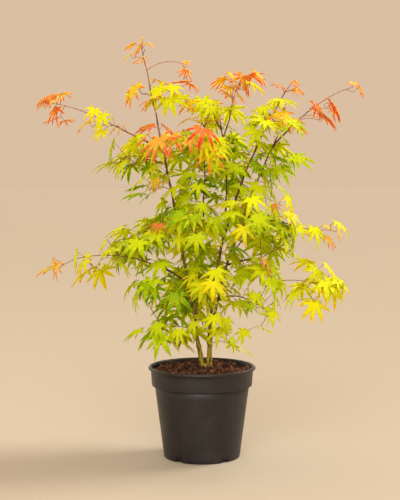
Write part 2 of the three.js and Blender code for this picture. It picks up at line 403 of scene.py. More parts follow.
# What each record slot's sprays are dealt: (tint, share).
DEALS: dict[str, list[tuple[Tint, float]]] = {
    "leaf_green": [(Tint.DEEP, 0.3), (Tint.GREEN, 0.5), (Tint.LIME, 0.2)],
    "leaf_lime": [(Tint.DEEP, 0.08), (Tint.GREEN, 0.35), (Tint.LIME, 0.42), (Tint.YELLOW, 0.15)],
    "leaf_yellow": [(Tint.LIME, 0.35), (Tint.YELLOW, 0.61), (Tint.AMBER, 0.04)],
    "leaf_amber": [(Tint.YELLOW, 0.35), (Tint.AMBER, 0.5), (Tint.CORAL, 0.15)],
    "leaf_coral": [(Tint.AMBER, 0.25), (Tint.CORAL, 0.55), (Tint.RED, 0.2)],
}


# ---- reading the frame


def triangles_of(node: str) -> Array:
    """Read a frame node's triangles as an array of (face, corner, xyz)."""
    mesh = frame["nodes"][node].data
    mesh.calc_loop_triangles()
    points = np.empty(len(mesh.vertices) * 3, np.float32)
    mesh.vertices.foreach_get("co", points)
    corners = np.empty(len(mesh.loop_triangles) * 3, np.int32)
    mesh.loop_triangles.foreach_get("vertices", corners)
    return points.reshape(-1, 3)[corners].reshape(-1, 3, 3).astype(float)


def nodes_with(slot: str) -> list[str]:
    """List the frame nodes that wear a record slot."""
    return [row["node"] for row in frame["record"]["subparts"] if row["material_slot"] == slot]


@dataclass
class Limb:
    """A tapering tube: its centre line from foot to tip, and its radius along it."""

    name: str
    points: Array
    radii: Array

    @staticmethod
    def read(node: str, slices: int = 12, steps: int = 60, inset: float = 0.12, short: float = 50 * MM,
             thinnest: float = 0.8 * MM) -> "Limb":
        """Recover a limb from its solid.

        Planes across the solid's longest direction cut it in rings. Each ring's length-weighted middle
        is a point of the centre line and its girth over two pi the radius. A cubic through the points
        and a straight taper through the radii then carry both out to the solid's two ends.

        Args:
            node: The frame node.
            slices: How many planes cut it.
            steps: How many points the limb gets.
            inset: The share of its length at either end that no plane cuts.
            short: The length up to which a limb is taken as straight.
            thinnest: The least radius.

        Returns:
            The limb, thick end first.
        """
        tri = triangles_of(node)
        cloud = tri.reshape(-1, 3)
        middle = cloud.mean(axis=0)
        axis = np.linalg.svd(cloud - middle, full_matrices=False)[2][0]
        along = (tri - middle) @ axis
        low, high = along.min(), along.max()
        places, centres, radii = [], [], []
        for share in np.linspace(inset, 1 - inset, slices):
            offset = along - (low + share * (high - low))
            after = np.roll(offset, -1, axis=1)
            crosses = (offset > 0) != (after > 0)
            weight = offset / np.where(np.abs(offset - after) < 1e-12, 1.0, offset - after)
            cuts = tri + weight[..., None] * (np.roll(tri, -1, axis=1) - tri)
            cut = crosses.sum(axis=1) == 2
            ends = cuts[cut][crosses[cut]].reshape(-1, 2, 3)
            girth = np.linalg.norm(ends[:, 0] - ends[:, 1], axis=1)
            centres.append((ends.mean(axis=1) * girth[:, None]).sum(axis=0) / girth.sum())
            radii.append(girth.sum() / math.tau)
            places.append(share)
        taper = np.polyfit(places, radii, 1)
        share = np.linspace(0, 1, steps)
        if taper[0] > 0:
            share = share[::-1]
        degree = 3 if high - low > short else 1
        curve = np.polyfit(places, np.array(centres), degree)
        powers = share[:, None] ** np.arange(degree, -1, -1)
        return Limb(node, powers @ curve, np.maximum(np.polyval(taper, share), thinnest))

    def joined_to(self, parents: list["Limb"], reach: float = 20 * MM, steps: int = 4,
                  collar: Range = (1.5, 1.06)) -> "Limb":
        """Carry the foot back into the limb that it forks from.

        Args:
            parents: The limbs that it may fork from.
            reach: How far away a parent can be.
            steps: How many points are added.
            collar: The radius at the first of them and after the last, as shares of the foot's radius.

        Returns:
            The longer limb, or the same one if no thicker limb is near.
        """
        gaps = [(np.linalg.norm(other.points - self.points[0], axis=1).min(), other)
                for other in parents if other is not self]
        near, parent = min(gaps, key=lambda pair: pair[0])
        if near > reach or self.radii[0] > parent.radii[0]:
            return self
        index = int(np.linalg.norm(parent.points - self.points[0], axis=1).argmin())
        foot = parent.points[index]
        lead = foot + (self.points[0] - foot) * np.linspace(0, 1, steps, endpoint=False)[:, None]
        radii = self.radii[0] * np.linspace(*collar, steps)
        return Limb(self.name, np.vstack([lead, self.points]), np.concatenate([radii, self.radii]))


# ---- tubes


@dataclass(frozen=True)
class Tube:
    """A tube carried along a path, with closed ends and an optional relief on its skin."""

    sides: int
    step: float
    start_bulge: float = 0.2
    end_bulge: float = 0.9

    def build(self, points: Array, radii: Array, into: Shapes, relief: Relief | None = None) -> None:
        """Add the tube to a collection.

        The path is walked again in even steps. Each ring lies square to the path, on two directions
        made from one fixed reference that is never along the path, so the skin doesn't twist.

        Args:
            points: The centre line.
            radii: The radius at each of its points.
            into: Where the tube goes.
            relief: A function of (angle, distance along) that gives the skin's extra height as a
                share of the radius.
        """
        walked = distances(points)
        count = max(4, int(round(walked[-1] / self.step)) + 1)
        at = np.linspace(0, walked[-1], count)
        spine = np.stack([np.interp(at, walked, points[:, k]) for k in range(3)], axis=1)
        radius = np.interp(at, walked, radii)
        tangent = unit(np.gradient(spine, axis=0))
        reference = np.eye(3)[np.abs(tangent).mean(axis=0).argmin()]
        across = unit(np.cross(reference, tangent))
        other = np.cross(tangent, across)
        angle = np.linspace(0, math.tau, self.sides, endpoint=False)
        skin = radius[:, None] * (1 + (relief(angle[None, :], at[:, None]) if relief else 0.0) + 0 * angle)
        ring = across[:, None] * np.cos(angle)[:, None] + other[:, None] * np.sin(angle)[:, None]
        wall = (spine[:, None] + ring * skin[..., None]).reshape(-1, 3)
        ends = np.stack([spine[0] - tangent[0] * radius[0] * self.start_bulge,
                         spine[-1] + tangent[-1] * radius[-1] * self.end_bulge])
        into.add(np.vstack([wall, ends]), *turned_faces(count, self.sides))


# ---- pot and compost


@dataclass
class NurseryPot:
    """A thin moulded pot: tapering body, stacking collar, rolled lip, and drain notches in the foot."""

    wall: float = 2.4 * MM
    floor: float = 3 * MM
    lip_height: float = 7 * MM
    lip_turn: Range = (-80, 170)
    collar_foot: float = 148 * MM
    base_radius: float = 78 * MM
    body_top_radius: float = 97 * MM
    collar_foot_radius: float = 103 * MM
    collar_top_radius: float = 105 * MM
    middle_points: Range = (20 * MM, 50 * MM)
    body_ends: Range = (8 * MM, 3.5 * MM)
    collar_ends: Range = (6 * MM, 0.6 * MM)
    step_drop: float = 2 * MM
    inner_floor_radius: float = 40 * MM
    # Small rounds at a corner of the outline: (outward, upward) from that corner, in millimetres.
    foot_round: tuple[Range, ...] = ((-2, 0), (-0.5, 0.5), (0.2, 2))
    groove: tuple[Range, ...] = ((-1.1, -2.6), (-1.1, -1.4), (0, -0.7))
    step_round: tuple[Range, ...] = ((-1.2, 0), (-0.3, 0.4), (0, 1.4))
    inner_step: tuple[Range, ...] = ((0, 7), (-4, 3))
    inner_foot: tuple[Range, ...] = ((0, 5), (-2, 3))
    notch_width: float = 17 * MM
    notch_height: float = 7.5 * MM
    notch_depth: float = 14 * MM
    notch_angles: tuple[float, ...] = (-144, -90, -36, 36, 90, 144)
    notch_reach: float = 60 * MM
    notch_edges: Range = (0.96, 1.0)
    around: int = 180
    finish: MouldedPlastic = MouldedPlastic()

    def profile(self) -> Array:
        """Give the closed outline as (radius, height), from the middle of the underside round to inside.

        Straight stretches carry even points, the lip is an arc over its roll, and small rounds soften
        the foot and the step under the collar.
        """
        lip_radius, _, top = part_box("pot")[1]
        roll = self.lip_height / 2
        turn = np.radians(np.linspace(*self.lip_turn, 15))
        lip = np.stack([lip_radius - roll + roll * np.cos(turn), top - roll + roll * np.sin(turn)], axis=1)
        slope = (self.body_top_radius - self.base_radius) / self.collar_foot
        collar_top = top - self.lip_height
        body = np.linspace(self.body_ends[0], self.collar_foot - self.body_ends[1], 12)
        collar = np.linspace(self.collar_foot + self.collar_ends[0], collar_top - self.collar_ends[1], 5)
        share = (collar - self.collar_foot) / (collar_top - self.collar_foot)
        widening = self.collar_top_radius - self.collar_foot_radius
        return np.concatenate([
            [(radius, 0) for radius in self.middle_points],
            self._round(self.base_radius, 0, self.foot_round),
            np.stack([self.base_radius + slope * body, body], axis=1),
            self._round(self.body_top_radius, self.collar_foot, self.groove),
            self._round(self.collar_foot_radius, self.collar_foot, self.step_round),
            np.stack([self.collar_foot_radius + share * widening, collar], axis=1),
            lip,
            [(self.collar_top_radius - self.wall, collar_top)],
            self._round(self.collar_foot_radius - self.wall, self.collar_foot, self.inner_step),
            [(self.body_top_radius - self.wall, self.collar_foot - self.step_drop)],
            self._round(self.base_radius - self.wall, 0, self.inner_foot),
            [(self.inner_floor_radius, self.floor)],
        ])

    def _round(self, radius: float, height: float, offsets: tuple[Range, ...]) -> Array:
        """Give the points of a small round at a corner of the outline."""
        return np.array([radius, height]) + np.array(offsets) * MM

    def build(self) -> Piece:
        """Turn the outline about the pot's axis and press the drain notches into its foot.

        Each side of a notch gets two columns of points, one just inside the edge and one on it. A point
        is moved where its angle is inside a notch and it is low and near the rim: its radius is pulled
        in by the notch depth and its height lifted to the notch's roof.
        """
        outline = self.profile()
        half = self.notch_width / 2 / self.base_radius
        middles = np.radians(np.array(self.notch_angles) - 90)
        edges = np.concatenate([middles + side * half * k for side in (-1, 1) for k in self.notch_edges])
        even = np.linspace(0, math.tau, self.around, endpoint=False)
        angle = np.sort(np.mod(np.concatenate([even, edges]), math.tau))
        radius = np.repeat(outline[:, :1], len(angle), axis=1)
        height = np.repeat(outline[:, 1:], len(angle), axis=1)
        apart = np.abs(np.mod(angle[:, None] - middles[None] + math.pi, math.tau) - math.pi).min(axis=1)
        notched = (apart < half * np.mean(self.notch_edges))[None]
        foot = (outline[:, 1] < self.notch_height * 0.6) & (outline[:, 0] > self.notch_reach)
        foot[len(outline) // 2 :] = False
        pressed = notched & foot[:, None]
        radius = np.where(pressed, np.minimum(radius, self.base_radius - self.notch_depth), radius)
        roof = self.notch_height * smooth_step(0.0, 2 * MM, outline[:, 1])[:, None]
        height = np.where(pressed, np.maximum(height, roof), height)
        wall = np.stack([radius * np.cos(angle), radius * np.sin(angle), height], axis=-1).reshape(-1, 3)
        points = np.vstack([wall, [[0, 0, 0], [0, 0, self.floor]]])
        piece = mesh_piece("nursery_pot", points, turned_faces(len(outline), len(angle)),
                           [self.finish.material()])
        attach(piece, "root")
        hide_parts("pot")
        return piece


@dataclass
class Compost:
    """Loose composted bark: a rough bed, mounded a little at the stems, strewn with chips."""

    rings: int = 40
    around: int = 120
    edge_gap: float = 0.4 * MM
    settled: float = 2.4 * MM
    mound: float = 4.2 * MM
    # Waves over the bed: (height, length along x and along y, phase along x and along y).
    waves: tuple[tuple[float, ...], ...] = ((1.1 * MM, 13 * MM, 11 * MM, 1.0, math.pi / 2),
                                            (0.7 * MM, 4.6 * MM, 5.3 * MM, 0.0, 2.0))
    step_heights: Range = (156 * MM, 147 * MM)
    step_width: float = 7 * MM
    foot_radius: float = 75 * MM
    seed: int = 5
    chips: int = 1500
    chip_margin: float = 4 * MM
    chip_least: float = 1.4 * MM
    chip_longer: float = 4.2 * MM
    chip_long_rarity: float = 1.7
    chip_width: Range = (0.4, 0.85)
    chip_height: Range = (0.22, 0.5)
    chip_skew: Range = (0.68, 1.15)
    chip_lean: float = 0.5
    chip_raised: float = 0.35
    # The bed is near black: the dark colour of damp compost, darkened further as painted shade for the gaps
    # between the chips.
    bed: BarkChip = BarkChip("compost_bed", "#0d0705", "#2a180f")
    chip_finishes: tuple[BarkChip, ...] = (
        BarkChip("bark_chip_dark", "#150b07", "#40251a"),
        BarkChip("bark_chip_brown", "#2c190f", "#6a402a"),
        BarkChip("bark_chip_rust", "#452817", "#8c5a3c"),
    )

    def surface(self, x: Array, y: Array) -> Array:
        """Give the bed's height: the top of the frame's soil less its mound, with small waves."""
        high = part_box("soil")[1]
        across = np.hypot(x, y) / high[0]
        waves = sum(tall * np.sin(x / long + start) * np.sin(y / wide + turn)
                    for tall, long, wide, start, turn in self.waves)
        return high[2] - self.settled - self.mound * across**2 + waves

    def build(self) -> list[Piece]:
        """Make the bed as a closed turned solid and the chips as one piece for each shade."""
        low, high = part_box("soil")
        rim = high[0] - self.edge_gap
        radius = np.concatenate([np.linspace(2 * MM, rim, self.rings),
                                 [rim, rim - self.step_width, self.foot_radius]])
        angle = np.linspace(0, math.tau, self.around, endpoint=False)
        x, y = radius[:, None] * np.cos(angle), radius[:, None] * np.sin(angle)
        z = self.surface(x, y)
        z[self.rings :] = np.array([*self.step_heights, low[2]])[:, None]
        wall = np.stack([x, y, z], axis=-1).reshape(-1, 3)
        ends = [[0, 0, self.surface(np.zeros(1), np.zeros(1))[0]], [0, 0, low[2]]]
        faces = [part[:, ::-1] for part in turned_faces(len(radius), self.around)]
        # Painted shade: the bed's near-black colour stands for the shadowed gaps between chips, over the
        # dark colour of damp compost.
        bed = mesh_piece("compost_bed", np.vstack([wall, ends]), faces, [self.bed.material()])
        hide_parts("soil")
        pieces = [bed] + self.strew()
        for piece in pieces:
            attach(piece, "root")
        return pieces

    def strew(self) -> list[Piece]:
        """Scatter chips: each is a block of eight corners, squashed, skewed and turned at random."""
        rng = np.random.default_rng(self.seed)
        corners = np.array([[a, b, c] for c in (-1, 1) for b in (-1, 1) for a in (-1, 1)], float)
        faces = np.array([[0, 2, 3, 1], [4, 5, 7, 6], [0, 1, 5, 4], [2, 6, 7, 3], [0, 4, 6, 2],
                          [1, 3, 7, 5]])
        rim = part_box("soil")[1][0] - self.chip_margin
        out = rim * np.sqrt(rng.random(self.chips))
        turn = rng.random(self.chips) * math.tau
        place = np.stack([out * np.cos(turn), out * np.sin(turn)], axis=1)
        long = self.chip_longer * rng.random(self.chips) ** self.chip_long_rarity + self.chip_least
        half = long[:, None] * np.stack([np.ones(self.chips), rng.uniform(*self.chip_width, self.chips),
                                         rng.uniform(*self.chip_height, self.chips)], axis=1)
        body = corners[None] * half[:, None] * rng.uniform(*self.chip_skew, (self.chips, 8, 3))
        spin = rng.random(self.chips) * math.tau
        lean = rng.normal(0, self.chip_lean, (self.chips, 2))
        cos, sin = np.cos(spin)[:, None], np.sin(spin)[:, None]
        x = body[..., 0] * cos - body[..., 1] * sin
        y = body[..., 0] * sin + body[..., 1] * cos
        z = body[..., 2] + x * lean[:, :1] + y * lean[:, 1:]
        height = self.surface(place[:, 0], place[:, 1]) + half[:, 2] * self.chip_raised
        points = np.stack([x + place[:, :1], y + place[:, 1:], z + height[:, None]], axis=-1)
        shade = rng.integers(0, len(self.chip_finishes), self.chips)
        pieces = []
        for number, finish in enumerate(self.chip_finishes):
            chosen = points[shade == number]
            numbers = (faces[None] + 8 * np.arange(len(chosen))[:, None, None]).reshape(-1, 4)
            pieces.append(mesh_piece(finish.name, chosen.reshape(-1, 3), [numbers], [finish.material()],
                                     smooth=False))
        return pieces


# ---- stems and boughs


@dataclass
class Bark:
    """The skin of every stem and bough: fine lengthwise ridges and a swollen ring at each old leaf pair."""

    # Ridges: (height as a share of the radius, how many round the limb, turn for each metre along).
    ridges: tuple[tuple[float, int, float], ...] = ((0.035, 3, 25), (0.03, 5, -40))
    node_spacing: float = 42 * MM
    swelling: float = 0.2
    swelling_length: float = 2.2 * MM
    swelling_uneven: float = 0.35
    slender: float = 0.7
    root: float = 110 * MM
    zigzag: float = 1.1 * MM
    zigzag_normal: tuple[float, float, float] = (0.2, 1.0, 0.1)
    tube: Tube = Tube(14, 1.5 * MM)
    finishes: tuple[YoungBark, ...] = (
        YoungBark("stem_bark", 0.19, 0.84, ("#c8b62c", "#92801e", "#5e4018", "#aa7036")),
        YoungBark("bough_bark", 0.25, 0.8, ("#86682a", "#7e5028", "#8a5030", "#ac6a3e")),
    )

    def relief(self, seed: int) -> Relief:
        """Give the relief as a function of angle and distance: ridges along the limb, rings round it."""
        phase = np.random.default_rng(seed).random(4) * math.tau

        def height(angle: Array, at: Array) -> Array:
            """Add the ridges and the rings at an angle and a distance along."""
            ridges = sum(tall * np.sin(number * angle + start + at * turn)
                         for (tall, number, turn), start in zip(self.ridges, phase))
            knots = np.mod(at + phase[2] / math.tau * self.node_spacing, self.node_spacing)
            knots -= self.node_spacing / 2
            ring = self.swelling * np.exp(-((knots / self.swelling_length) ** 2))
            return ridges + ring * (1 + self.swelling_uneven * np.cos(2 * angle + phase[3]))

        return height

    def bent(self, points: Array) -> Array:
        """Bend a limb a little to and fro from one leaf pair to the next, with its ends left in place."""
        walked = distances(points)
        wave = 2 * np.abs(np.mod(walked / self.node_spacing / 2, 1.0) - 0.5) - 0.5
        wave *= np.minimum(1.0, np.minimum(walked, walked[-1] - walked) / self.node_spacing)
        side = unit(np.cross(points[-1] - points[0], self.zigzag_normal))
        return points + 2 * self.zigzag * wave[:, None] * side

    def build(self, limbs: list[Limb]) -> list[Piece]:
        """Make one piece of all stems and one of all boughs, standing for their nodes."""
        pieces = []
        for finish in self.finishes:
            slot = finish.name
            names = nodes_with(slot)
            shapes = Shapes()
            for number, limb in enumerate(limbs):
                if limb.name in names:
                    whole = limb.joined_to(limbs)
                    out = np.linalg.norm(whole.points - whole.points[0], axis=1)
                    radii = whole.radii * (1 - (1 - self.slender) * smooth_step(0.0, self.root, out))
                    self.tube.build(self.bent(whole.points), radii, shapes, self.relief(number))
            piece = shapes.piece(slot, finish.material())
            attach(piece, "root")
            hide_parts(*names)
            pieces.append(piece)
        return pieces


# ---- leaves


@dataclass
class LeafForm:
    """The flat outline of a seven-lobed maple leaf as a small mesh, ready to be bent and placed.

    Lengths are shares of the middle lobe. Each vertex has the lobe it belongs to, how far out it is
    along that lobe, how far across, and whether it is on the midrib, where the blade is thickest. The
    gap after a lobe has minus that lobe's number, less one.
    """

    angles: tuple[float, ...] = (-122, -76, -38, 0, 38, 76, 122)
    lengths: tuple[float, ...] = (0.4, 0.76, 0.95, 1.0, 0.95, 0.76, 0.4)
    sinus: float = 0.31
    outs: tuple[float, ...] = (0.3, 0.48, 0.67, 0.85)
    widths: tuple[float, ...] = (0.108, 0.088, 0.036)
    small_lobe: float = 0.5
    small_lobe_wider: float = 1.5
    lobe_stray: float = 4.5
    lobe_uneven: float = 0.06
    edge_lift: float = 2.2
    gap_lift: float = 0.16
    thickness: float = 0.009
    lobe: list[int] = field(default_factory=list)
    out: list[float] = field(default_factory=list)
    across: list[float] = field(default_factory=list)
    rib: list[float] = field(default_factory=list)
    triangles: list[tuple[int, int, int, int]] = field(default_factory=list)

    def __post_init__(self) -> None:
        """Number the vertices and faces, lobe by lobe, with both skins sharing the outline."""
        lobes = len(self.angles)
        base = [self._vertex(lobes // 2, 0, 0, rib) for rib in (1, -1)]
        gaps = [self._vertex(-1 - k, self.sinus, 0, 0) for k in range(lobes - 1)]
        for k in range(lobes):
            small = self.lengths[k] < self.small_lobe
            wider = self.small_lobe_wider if small else 1.0
            steps = 2 if small else 3
            outs = self.outs[1 : steps + 1]
            tip = self._vertex(k, 1.0, 0, 0)
            ribs = [[self._vertex(k, out, 0, rib) for out in (self.outs[0], *outs)] for rib in (1, -1)]
            for side in (-1, 1):
                gap_number = k if side > 0 else k - 1
                first = gaps[gap_number] if 0 <= gap_number < lobes - 1 else base[0]
                edge = [self._vertex(k, out, side * width * wider, 0)
                        for out, width in zip(outs, self.widths)]
                for skin in (0, 1):
                    flip = (side > 0) == (skin == 0)
                    if first != base[0]:
                        self._face(flip, 0, base[skin], ribs[skin][0], first)
                        self._face(flip, 0, first, ribs[skin][0], ribs[skin][1], edge[0])
                    else:
                        self._face(flip, 0, base[skin], ribs[skin][0], ribs[skin][1], edge[0])
                    for i in range(len(edge) - 1):
                        zone = 1 if i == 0 else 2
                        self._face(flip, zone, edge[i], ribs[skin][i + 1], ribs[skin][i + 2], edge[i + 1])
                    self._face(flip, 2, edge[-1], ribs[skin][-1], tip)

    def _vertex(self, lobe: int, out: float, across: float, rib: int) -> int:
        """Add a vertex and give its number."""
        self.lobe.append(lobe)
        self.out.append(out)
        self.across.append(across)
        self.rib.append(rib)
        return len(self.lobe) - 1

    def _face(self, flip: bool, zone: int, *corners: int) -> None:
        """Add a face of a colour zone as a fan of triangles, turned round on one of the skins."""
        for second, third in zip(corners[1:], corners[2:]):
            fan = (corners[0], third, second) if flip else (corners[0], second, third)
            self.triangles.append((*fan, zone))

    def place(self, leaves: "LeafBatch") -> Array:
        """Bend and place the form for every leaf at once.

        A lobe's line leaves the leaf's foot at its own angle, a little changed for each leaf. A
        vertex is out along that line and across it; a gap between lobes lies on the mean of its two
        lines. Height is the fold, which lifts the edges above the midribs, less the droop, which
        grows with the square of the distance from the foot, plus the blade's thickness at a rib.

        Returns:
            The vertices as (leaf, vertex, xyz).
        """
        lobe = np.array(self.lobe)
        between = lobe < 0
        first = np.where(between, -1 - lobe, lobe)
        second = np.where(between, first + 1, first)
        wander = np.radians(leaves.rng.normal(0, self.lobe_stray, (len(leaves.size), len(self.angles))))
        stretch = leaves.rng.normal(1, self.lobe_uneven, wander.shape)
        angle = np.radians(np.array(self.angles)) * leaves.spread[:, None] + wander
        length = np.array(self.lengths) * stretch
        angle = (angle[:, first] + angle[:, second]) / 2
        length = np.where(between, 1.0, length[:, first])
        out = np.array(self.out) * length
        across = np.array(self.across) * length * leaves.width[:, None]
        along = out * np.cos(angle) - across * np.sin(angle)
        aside = out * np.sin(angle) + across * np.cos(angle)
        far = along**2 + aside**2
        lift = leaves.fold[:, None] * np.abs(across) * self.edge_lift
        lift += between * leaves.fold[:, None] * self.gap_lift
        sag = leaves.droop[:, None] * far + leaves.curl[:, None] * far**2
        twist = leaves.twist[:, None] * aside
        height = lift - sag + twist + np.array(self.rib) * self.thickness
        size = leaves.size[:, None]
        return (leaves.foot[:, None]
                + (size * along)[..., None] * leaves.ahead[:, None]
                + (size * aside)[..., None] * np.cross(leaves.up, leaves.ahead)[:, None]
                + (size * height)[..., None] * leaves.up[:, None])


@dataclass(frozen=True)
class LeafHabit:
    """How leaves differ from one another, and how those just open (young) differ from the rest."""

    roll: float = 0.28
    to_light: float = 0.5
    crown_core: float = 120 * MM
    droop: Range = (0.0, 0.22)
    curl: Range = (0.0, 0.1)
    fold: Range = (0.04, 0.3)
    young_fold: float = 0.25
    twist: float = 0.08
    width: Range = (0.88, 1.12)
    young_narrower: float = 0.3
    spread: Range = (0.86, 1.04)
    young_closer: float = 0.12


class LeafBatch:
    """Every leaf of one tint, as whole arrays: where each stands, how it lies and how it is bent."""

    def __init__(self, rows: list[tuple], habit: LeafHabit, seed: int) -> None:
        """Unpack rows of (foot, direction ahead, size, youth) and draw each leaf's own bends."""
        self.rng = np.random.default_rng(seed)
        count = len(rows)
        self.foot = np.array([r[0] for r in rows])
        self.ahead = unit(np.array([r[1] for r in rows]))
        self.size = np.array([r[2] for r in rows])
        young = np.array([r[3] for r in rows])
        roll = self.rng.normal(0, habit.roll, count)
        outward = self.foot * LEVEL / habit.crown_core
        outward /= np.maximum(1.0, np.linalg.norm(outward, axis=1, keepdims=True))
        light = UP + habit.to_light * outward
        up = unit(light - self.ahead * (self.ahead * light).sum(axis=1, keepdims=True))
        side = np.cross(up, self.ahead)
        self.up = up * np.cos(roll)[:, None] + side * np.sin(roll)[:, None]
        self.droop = self.rng.uniform(*habit.droop, count)
        self.curl = self.rng.uniform(*habit.curl, count)
        self.fold = self.rng.uniform(*habit.fold, count) + habit.young_fold * young
        self.twist = self.rng.normal(0, habit.twist, count)
        self.width = self.rng.uniform(*habit.width, count) * (1 - habit.young_narrower * young)
        self.spread = self.rng.uniform(*habit.spread, count) * (1 - habit.young_closer * young)


# ---- the crown


@dataclass
class Mass:
    """The space that one mass of foliage fills, and the tint it is dealt from."""

    name: str
    slot: str
    points: Array
    full_half_width: float = 46 * MM
    least_vigour: float = 0.72

    @staticmethod
    def read(node: str, slot: str) -> "Mass":
        """Read a mass from its frame node."""
        return Mass(node, slot, np.unique(np.round(triangles_of(node).reshape(-1, 3), 6), axis=0))

    @property
    def centre(self) -> Array:
        """The middle of the mass's box."""
        return (self.points.min(axis=0) + self.points.max(axis=0)) / 2

    @property
    def half(self) -> Array:
        """Half the sides of the mass's box."""
        return (self.points.max(axis=0) - self.points.min(axis=0)) / 2

    @property
    def young(self) -> float:
        """How young the leaves are, from 0 for full grown to 1 for just open, by the mass's tint."""
        return {"leaf_amber": 0.6, "leaf_coral": 1.0}.get(self.slot, 0.0)

    @property
    def vigour(self) -> float:
        """How large the leaves are as a share of full size: small masses at shoot ends bear small ones."""
        return float(np.clip(self.half[0] / self.full_half_width, self.least_vigour, 1.0))


class Side(Enum):
    """A side of a mass, as shares of its half width, depth and height from its middle."""

    FRONT = (0.0, -0.8, 0.0)
    LEFT = (-0.6, -0.6, 0.1)
    RIGHT = (0.6, -0.6, 0.1)
    TOP = (0.0, -0.5, 0.7)
    FOOT = (0.2, -0.8, -0.5)


@dataclass(frozen=True)
class Accent:
    """A single leaf that has turned before its neighbours: its mass, side, tint and share of full size."""

    mass: str
    side: Side
    tint: Tint
    size: float


@dataclass(frozen=True)
class Stance:
    """How a stalk leaves its shoot and how its blade hangs: shares, ranges, and degrees below level."""

    stalk: float = 27 * MM
    stalk_lengths: Range = (0.7, 1.25)
    young_shorter: float = 0.35
    bend: Range = (0.55, 0.1)
    aside: Range = (0.9, 1.3)
    aside_at_tip: Range = (0.5, 0.8)
    forward: float = 0.8
    upward: float = 0.25
    stray: float = 0.14
    slopes: Range = (-0.35, 0.7)
    sizes: Range = (0.8, 1.12)
    outward: float = 0.35
    low_to_high: Range = (0.3, 0.66)
    hang: Range = (2, 46)
    hang_more_low: Range = (14, 22)
    hang_more_facing: float = 26
    half_width: float = 0.75
    shrink: float = 0.8
    least_size: float = 0.45


@dataclass(frozen=True)
class Season:
    """Where in the crown tints turn: at heights, at distances from the pot's axis, and how often."""

    top: Range = (0.62, 0.76)
    rim: Range = (0.16, 0.26)
    never_dark: float = 0.35
    inner: float = 0.1
    inner_yellow: float = 0.4
    warmer: float = 0.85


